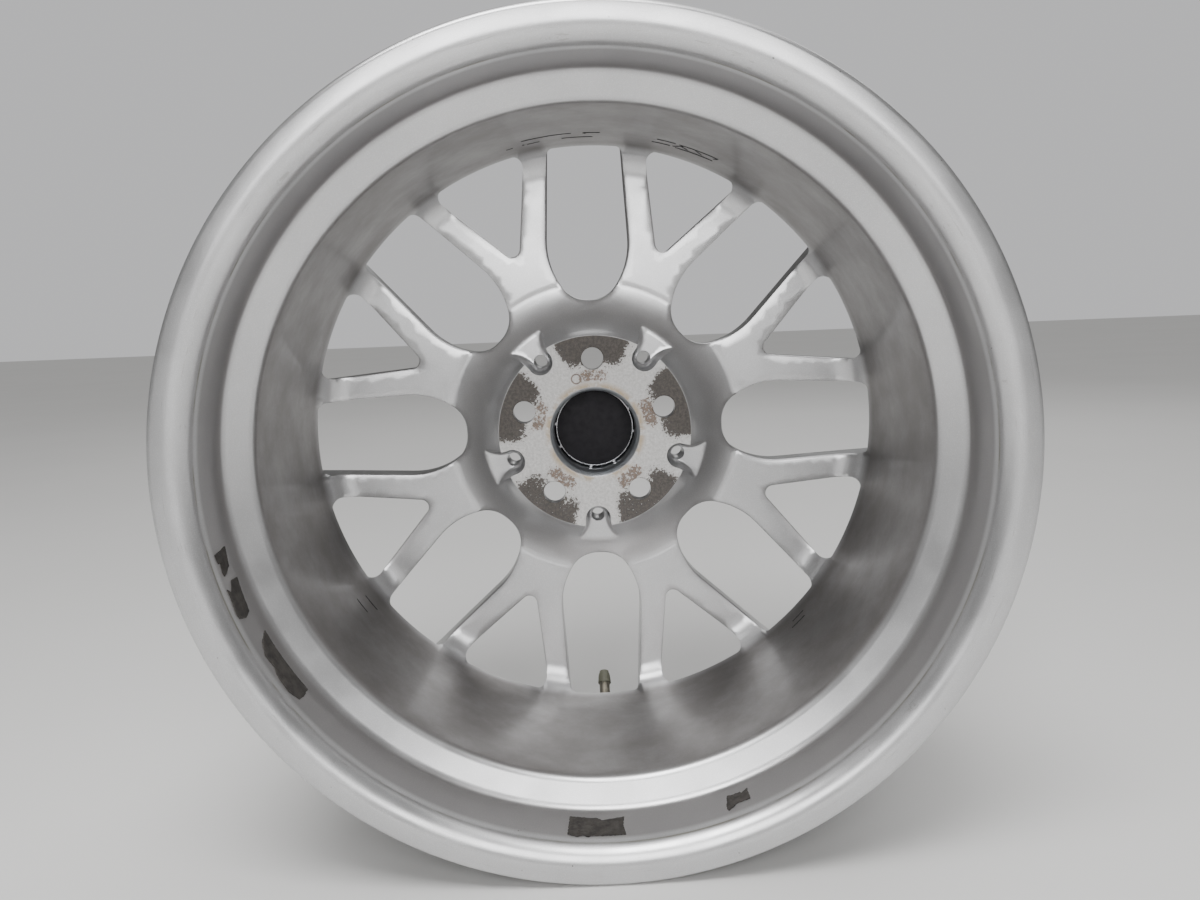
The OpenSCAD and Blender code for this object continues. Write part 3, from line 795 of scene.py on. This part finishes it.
def silver_paint():
    """Silver wheel paint with metal flake, the bare hub pad, the blue-grey bore, brake dirt in the barrel
    darkened further as painted shade, painted shade under the rear bead seat, and a scuffed lip.
    """
    p = Paint("silver_paint", (0.60, 0.60, 0.61), 0.70, 0.36, Coat_Weight=0.35, Coat_Roughness=0.16)
    r, y, a = wheel_place(p)
    both, plus = lambda *v: p.math("MULTIPLY", *v), lambda *v: p.math("ADD", *v)
    paint = p.mix(p.step(p.noise(9.0, 4.0, 0.6), 0.3, 0.7), (0.50, 0.50, 0.505), (0.58, 0.58, 0.585))
    flake = p.noise(2400.0, 1.0, 0.5)
    paint = p.mix(p.step(flake, 0.45, 0.75, 0.0, 0.4), paint, (0.78, 0.78, 0.79))
    grain = p.noise(520.0, 4.0, 0.75)
    pad, oxide, dirt = pad_colour(p, r, y, a, grain)
    bore = p.step(r, 30.3, 30.9, 1.0, 0.0)
    colour = p.mix(bore, p.mix(pad, paint, oxide), (0.40, 0.42, 0.44))
    colour = scuffed_lip(p, colour, r, y, a)
    # brake dirt inside the barrel, darkened well past the dirt alone as painted shade, and painted shade
    # under the rear bead seat
    barrel = both(p.band(y, -60.0, 60.0, 6.0), p.band(r, 188.5, 195.6, 0.8))
    # painted shade: the barrel's dark mix stands for its dirt and for the shade inside it
    dust_and_shade = both(barrel, p.step(p.noise(16.0, 6.0, 0.65), 0.15, 0.70, 0.6, 1.0))
    colour = p.mix(both(dust_and_shade, 0.80), colour, (0.12, 0.104, 0.096))
    # painted shade: the band under the rear bead seat is darkened where shade falls
    under = both(p.band(y, -94.5, -68.5, 2.0), p.band(r, 208.0, 215.6, 0.8))
    p.set("Base Color", p.mix(both(under, 0.6), colour, (0.22, 0.205, 0.20)))
    p.set("Metallic", p.math("SUBTRACT", 0.84, both(pad, 0.74)))
    rough = p.step(p.noise(30.0, 5.0, 0.6), 0.3, 0.75, 0.28, 0.37)
    p.set("Roughness", plus(rough, plus(both(pad, 0.34), both(dust_and_shade, 0.14))))
    # orange peel, corrosion pits and fine turning marks
    fine = p.noise(900.0, 2.0, 0.6)
    pits = both(pad, plus(both(grain, 3.0), both(dirt, -1.0)))
    ridges = p.noise(1.0, 4.0, 0.7, where=along_turning(p, r, y, a, 3.0))
    p.bump(plus(plus(both(fine, 0.4), both(pits, 1.6)), both(ridges, 0.35)), 0.00006, 0.6)
    return p


def plain(name, colour, metallic, rough, scale, depth, contrast=0.25, **extra):
    """A quiet material with small colour, gloss and surface variation."""
    p = Paint(name, colour, metallic, rough, **extra)
    dark = tuple(v * (1 - contrast) for v in colour)
    p.set("Base Color", p.mix(p.step(p.noise(scale * 0.2, 4.0, 0.6), 0.3, 0.7), dark, colour))
    low, high = max(rough - 0.08, 0.05), min(rough + 0.1, 1.0)
    p.set("Roughness", p.step(p.noise(scale * 0.5, 3.0, 0.6), 0.3, 0.7, low, high))
    p.bump(p.noise(scale, 4.0, 0.6), depth)
    return p


SILVER = silver_paint()
FINISHES = {
    "wheel_forging": SILVER,
    "centre_cap_shell": plain("cap_black_plastic", (0.010, 0.009, 0.012), 0.0, 0.55, 500.0, 0.000004,
                              Specular_IOR_Level=0.22),
    "centre_cap_clip_ring": plain("clip_spring_steel", (0.62, 0.62, 0.64), 1.0, 0.28, 700.0, 0.00001),
    "centre_cap_adhesive": plain("foam_pad", (0.75, 0.74, 0.70), 0.0, 0.9, 1500.0, 0.0001),
    "centre_cap_face": plain("cap_face_silver", (0.62, 0.62, 0.64), 0.85, 0.34, 1800.0, 0.000004, 0.08),
    "valve_stem": plain("valve_nickel", (0.46, 0.43, 0.36), 1.0, 0.38, 900.0, 0.00002),
    "valve_grommet": plain("valve_rubber", (0.02, 0.02, 0.02), 0.0, 0.7, 1200.0, 0.00004),
    "valve_washer": plain("washer_zinc", (0.58, 0.57, 0.54), 1.0, 0.4, 900.0, 0.00002),
    "valve_nut": plain("nut_zinc", (0.52, 0.50, 0.45), 1.0, 0.4, 900.0, 0.00002),
    "valve_core_plug": plain("core_brass", (0.65, 0.47, 0.20), 1.0, 0.3, 900.0, 0.00001),
    "valve_core_seal": plain("core_rubber", (0.02, 0.02, 0.02), 0.0, 0.6, 1500.0, 0.00002),
    "valve_core_spring": plain("spring_wire", (0.60, 0.60, 0.60), 1.0, 0.25, 1500.0, 0.000005),
    "valve_core_pin": plain("pin_brass", (0.68, 0.52, 0.25), 1.0, 0.28, 900.0, 0.00001),
    "valve_pin_seal": plain("pin_rubber", (0.02, 0.02, 0.02), 0.0, 0.6, 1500.0, 0.00002),
    "valve_cap": plain("valve_cap_olive", (0.13, 0.13, 0.095), 0.0, 0.5, 900.0, 0.00003),
    "valve_cap_seal": plain("cap_rubber", (0.02, 0.02, 0.02), 0.0, 0.6, 1500.0, 0.00002),
}
TAPE = plain("old_foam_tape", (0.045, 0.040, 0.036), 0.0, 0.9, 900.0, 0.0003, 0.55)
FILM = plain("old_tape_edge", (0.012, 0.012, 0.013), 0.0, 0.75, 1100.0, 0.0001, 0.5)


# ---- pieces ----

TAPE_T, TRACE_T, RIM_SHARE = 0.8, 0.3, 0.62
PITCH, THREAD_DEPTH, CAP_RIBS = 0.75, 0.3, 20


def give(obj, paint):
    obj.data.materials.clear()
    obj.data.materials.append(paint.material)


def place_piece(obj, paint, body, slot, *nodes):
    """Puts a piece on its body in place of plain nodes of the frame."""
    give(obj, paint)
    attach(obj, body)
    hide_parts(*nodes)


def in_polygon(x, z, polygon):
    """Whether points lie in a polygon, by how many of its sides are passed on the way out."""
    a, b = polygon, np.roll(polygon, -1, axis=0)
    hit = (a[:, 1] > z[:, None]) != (b[:, 1] > z[:, None])
    with np.errstate(divide="ignore", invalid="ignore"):
        cross = a[:, 0] + (z[:, None] - a[:, 1]) * (b[:, 0] - a[:, 0]) / (b[:, 1] - a[:, 1])
    return (hit & (x[:, None] < cross)).sum(1) % 2 == 1


def torn_edge(corners, rng, ragged):
    """An outline with its straight runs broken up by small random tears."""
    out = []
    for a, b in zip(corners, np.roll(corners, -1, axis=0)):
        n = max(1, int(np.linalg.norm(b - a) / 0.9))
        side = np.array([b[1] - a[1], a[0] - b[0]]) / max(np.linalg.norm(b - a), 1e-9)
        for k in range(n):
            out.append(a + (b - a) * k / n + side * rng.uniform(-ragged, ragged) * (k > 0))
    return np.array(out)


def skin(name, outlines, radius_at, thick, seed, ragged=0.25, step=1.1):
    """Flat patches that lie on the inside of the rim. Outlines are (millimetres round the rim, y)."""
    rng = random.Random(seed)
    shell = Shell()
    for corners in outlines:
        edge = torn_edge(np.array(corners, float), rng, ragged)
        sheet = Sheet(lambda x, z: np.zeros(len(x)))
        sheet.put(edge, None, True, True)
        xs, zs = (np.arange(low, high, step) for low, high in zip(edge.min(0), edge.max(0)))
        grid = np.array([(x + rng.uniform(-0.2, 0.2), z + rng.uniform(-0.2, 0.2)) for x in xs for z in zs])
        grid = grid[in_polygon(grid[:, 0], grid[:, 1], edge)]
        if len(grid):
            sheet.fill(grid, 0.45)
        flat = Shell()
        flat.patch(np.vstack(sheet.points), sheet.lines, lambda x, z: in_polygon(x, z, edge))
        p, faces = flat.points[0], flat.faces

        def on_rim(q, lift):
            r0 = radius_at(q[:, 1])
            a = q[:, 0] / r0.mean()
            r = r0 - lift
            return np.c_[r * np.cos(a), q[:, 1], r * np.sin(a)]

        # lumpy on top, thinner and even at the torn edge
        q = p[:, [0, 2]]
        border = np.min(np.sum((q[:, None] - edge[None]) ** 2, -1), 1) < 1e-9
        lumps = np.array([rng.uniform(0.72, 1.0) for _ in q]) * thick
        lumps[border] = thick * RIM_SHARE
        shell.add(on_rim(q, lumps), faces)
        shell.add(on_rim(q, 0.0), [f[::-1] for f in faces])
        shell.rows([on_rim(edge, thick * RIM_SHARE), on_rim(edge, 0.0)], True)
    return shell.object(name, 50, 1e-6)


def revolved(name, profile, columns, radius_of, sharp):
    """A closed ring turned about the valve's axis. The profile runs round its section: (radius, place)."""
    t = np.arange(columns) * 2 * math.pi / columns
    rows = []
    for r, z in profile:
        rr = radius_of(r, z, t)
        rows.append(np.c_[rr * np.cos(t), rr * np.sin(t), np.full(columns, z)])
    shell = Shell()
    shell.rows(rows + rows[:1], True)
    obj = shell.object(name, sharp, 1e-7)
    obj.data.transform(Matrix.Translation(VALVE_SEAT * MM) @ Matrix.Rotation(math.radians(-45), 4, "X"))
    return obj


def threaded(r, z, t):
    """Outside thread between the stem's shoulder and its mouth."""
    if r < 3.0 or not (-0.6 < z < 22.0):
        return np.full(len(t), float(r))
    wave = np.abs(((z / PITCH - t / (2 * math.pi)) % 1.0) * 2 - 1)
    return r - THREAD_DEPTH * wave


def ribbed(r, z, t):
    """Ribs for the fingers: deep on the cap's grip, shallow on its tip."""
    if 17.6 < z < 21.6 and r > 4.2:
        depth = 0.22
    else:
        depth = 0.12 if z >= 21.6 and r > 3.0 else 0.0
    return r - depth * (0.5 + 0.5 * np.cos(CAP_RIBS * t)) ** 2


def build_stem():
    """Foot, threaded stem in two diameters, and the bore with the core's seat."""
    rows = [(1.5, -12.6), (1.7, -12.8), (7.5, -12.8), (7.75, -12.5), (7.75, -10.9), (7.5, -10.6),
            (4.15, -10.6)]
    rows += [(4.15, z) for z in np.arange(-0.75, 8.0, PITCH / 4)]
    rows += [(3.85, z) for z in np.arange(8.25, 22.4, PITCH / 4)]
    rows += [(3.6, 22.6), (3.35, 22.9), (2.75, 22.9), (2.65, 22.8), (2.65, 5.2), (1.5, 4.9)]
    stem = revolved("valve_stem_threaded", rows, 40, threaded, 60)
    place_piece(stem, FINISHES["valve_stem"], "wheel", "valve_metal", "valve_stem")


def build_valve_cap():
    """A tapered cap, open below, with a collar at its mouth."""
    low = 17.0
    rows = [(4.0, low + 0.1), (4.15, low), (4.5, low), (4.7, low + 0.25), (4.75, low + 0.5),
            (4.75, low + 0.9), (4.6, low + 1.1), (4.62, low + 1.4), (4.7, low + 1.7), (4.6, low + 2.4),
            (4.45, low + 4.6), (4.2, low + 6.6), (3.75, low + 7.8), (3.5, low + 8.4), (3.4, low + 9.2),
            (3.2, low + 9.7), (2.7, low + 9.97), (1.4, low + 10), (0.02, low + 10), (0.02, low + 6.86),
            (3.7, low + 6.86), (3.91, low + 6.7)]
    cap = revolved("valve_cap_ribbed", rows, 80, ribbed, 40)
    place_piece(cap, FINISHES["valve_cap"], "valve_cap_turn", "valve_cap_plastic", "valve_cap")


forging = build_forging().object("rim_forging")
cut_valve_hole(forging)
place_piece(forging, SILVER, "wheel", "silver_forging", "wheel_forging")

# torn foam tape: start angle, sweep, rear and front edge, and the outline within that (along, across)
TAPES = (
    (-169.5, 4, -93, -80, ((0.12, 0), (0.47, 0.07), (0.5, 0.25), (0.84, 0.17), (1, 0.24), (0.73, 0.84),
                           (0, 1))),
    (-164.5, 6, -94, -78, ((0, 0.58), (0.28, 0.27), (0.14, 0.08), (0.4, 0.1), (0.76, 0), (0.93, 0.06),
                           (0.97, 0.25), (1, 0.46), (0.91, 0.82), (0.01, 1))),
    (-155, 11.5, -92, -76, ((0, 1), (0.09, 0.48), (0.24, 0.17), (0.45, 0.23), (0.54, 0.07), (0.8, 0),
                            (0.985, 0.2), (1, 0.53), (0.98, 1))),
    (-97, 9, -94, -75, ((0.03, 0.98), (0, 0.1), (0.17, 0), (0.27, 0.08), (0.36, 0), (0.4, 0.07), (1, 0.08),
                        (0.96, 0.6), (0.99, 0.95), (0.72, 0.87), (0.59, 0.82), (0.51, 0.93))),
    (-72, 4, -91, -77, ((0.13, 0.97), (0.35, 0.92), (0.68, 0.92), (0.72, 0.81), (1, 1), (0.99, 0.27),
                        (0.43, 0.28), (0.06, 0), (0, 0.16))),
)
for k, (start, sweep, y0, y1, shape) in enumerate(TAPES):
    mid = seat_r(np.array([y0, y1], float)).mean()
    outline = [(math.radians(start + sweep * s) * mid, y0 + (y1 - y0) * t) for s, t in shape]
    piece = skin(f"torn_tape_{k + 1}", [outline], seat_r, TAPE_T, 11 + k)
    place_piece(piece, TAPE, "wheel", "foam_tape", f"weight_tape_{k + 1}")


def dash(a0, a1, y0, y1, width):
    """A thin strip on the barrel wall from angle a0 at y0 to angle a1 at y1."""
    r = barrel_r(0.5 * (y0 + y1))
    p, q = np.array([math.radians(a0) * r, y0]), np.array([math.radians(a1) * r, y1])
    side = np.array([p[1] - q[1], q[0] - p[0]]) / np.linalg.norm(q - p) * width / 2
    return [p - side, q - side, q + side, p + side]


# thin edges left by older tape: dashes as (angle, angle, y, y, width)
TRACES = (
    ((101.8, 92.4, 23.4, 23.0, 1.3), (90.0, 87.0, 23.4, 23.2, 1.5), (90.1, 89.7, 23.9, 26.0, 1.0),
     (94.2, 88.3, 36.6, 36.6, 1.2), (105, 103.7, 37.0, 36.6, 1.1), (101.8, 101.4, 36.0, 36.0, 0.8),
     (100.9, 98.5, 36.8, 36.2, 0.7)),
    ((76.2, 72.6, 23.3, 23.2, 1.2), (71.9, 64.1, 23.4, 23.4, 1.1), (77, 73.4, 33.6, 33.4, 1.3),
     (72.4, 64.8, 35.0, 34.8, 1.6), (72.9, 71.2, 32.8, 25.0, 0.9), (71.6, 70.0, 26.0, 31.6, 1.0),
     (68.6, 67.2, 25.2, 31.0, 0.8), (64.3, 64.9, 25.2, 28.4, 0.9)),
    ((-47, -43.4, 39.2, 39.2, 1.0), (-46.2, -43.0, 46.6, 46.9, 0.9)),
    ((-148, -144.6, 23.2, 23.1, 0.8), (-147, -143.2, 38.8, 38.9, 0.9)),
)
for k, dashes in enumerate(TRACES):
    strips = [dash(*d) for d in dashes]
    piece = skin(f"tape_edge_{k + 1}", strips, barrel_r, TRACE_T, 31 + k, 0.14, 0.8)
    place_piece(piece, FILM, "wheel", "tape_film", f"tape_trace_{k + 1}")

build_stem()
build_valve_cap()
for name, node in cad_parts.items():
    if name in FINISHES:
        give(node, FINISHES[name])


# ---- stage ----

def build_stage():
    floor = bpy.data.meshes.new("floor")
    s, z = 9.0, cad_low.z - 0.0002      # just under the wheel
    floor.from_pydata([(-s, -s, z), (s, -s, z), (s, s, z), (-s, s, z)], [], [(0, 1, 2, 3)])
    obj = bpy.data.objects.new("floor", floor)
    scene.collection.objects.link(obj)
    p = Paint("pale_floor", (0.80, 0.79, 0.77), 0.0, 0.6)
    cloud = p.step(p.noise(3.0, 4.0, 0.5), 0.3, 0.7)
    p.set("Base Color", p.mix(cloud, (0.675, 0.67, 0.66), (0.69, 0.685, 0.675)))
    give(obj, p)


def build_world():
    world = bpy.data.worlds.new("studio")
    scene.world = world
    world.use_nodes = True
    tree = world.node_tree
    back = tree.nodes["Background"]
    # the backdrop is pale to the eye, and dimmer for what the metal mirrors
    sight = tree.nodes.new("ShaderNodeLightPath").outputs["Is Camera Ray"]
    mixer = tree.nodes.new("ShaderNodeMix")
    mixer.data_type = "RGBA"
    tree.links.new(sight, mixer.inputs[0])
    mixer.inputs[6].default_value = (0.09, 0.089, 0.087, 1)
    mixer.inputs[7].default_value = (0.60, 0.60, 0.61, 1)
    tree.links.new(mixer.outputs[2], back.inputs["Color"])


def lamp(name, place, aim, size, power):
    data = bpy.data.lights.new(name, "AREA")
    data.shape, data.size, data.size_y = "RECTANGLE", *size
    data.energy = power
    obj = bpy.data.objects.new(name, data)
    obj.location = place
    obj.rotation_mode = "QUATERNION"
    obj.rotation_quaternion = (Vector(aim) - Vector(place)).to_track_quat("-Z", "Y")
    obj.visible_camera = False
    scene.collection.objects.link(obj)


def sky(power, spread):
    """A wide sun straight overhead, for an even floor."""
    data = bpy.data.lights.new("sky", "SUN")
    data.energy, data.angle = power, math.radians(spread)
    scene.collection.objects.link(bpy.data.objects.new("sky", data))


build_stage()
build_world()
lamp("camera_side", (0.0, -1.15, 0.42), (0, 0, -0.05), (0.8, 0.6), 10)
lamp("above", (-0.25, -0.75, 1.5), (0, 0, -0.1), (1.0, 0.7), 27)
lamp("behind", (0.7, 1.9, 1.5), (0, 0, 0), (1.8, 1.2), 12)
sky(1.5, 60)
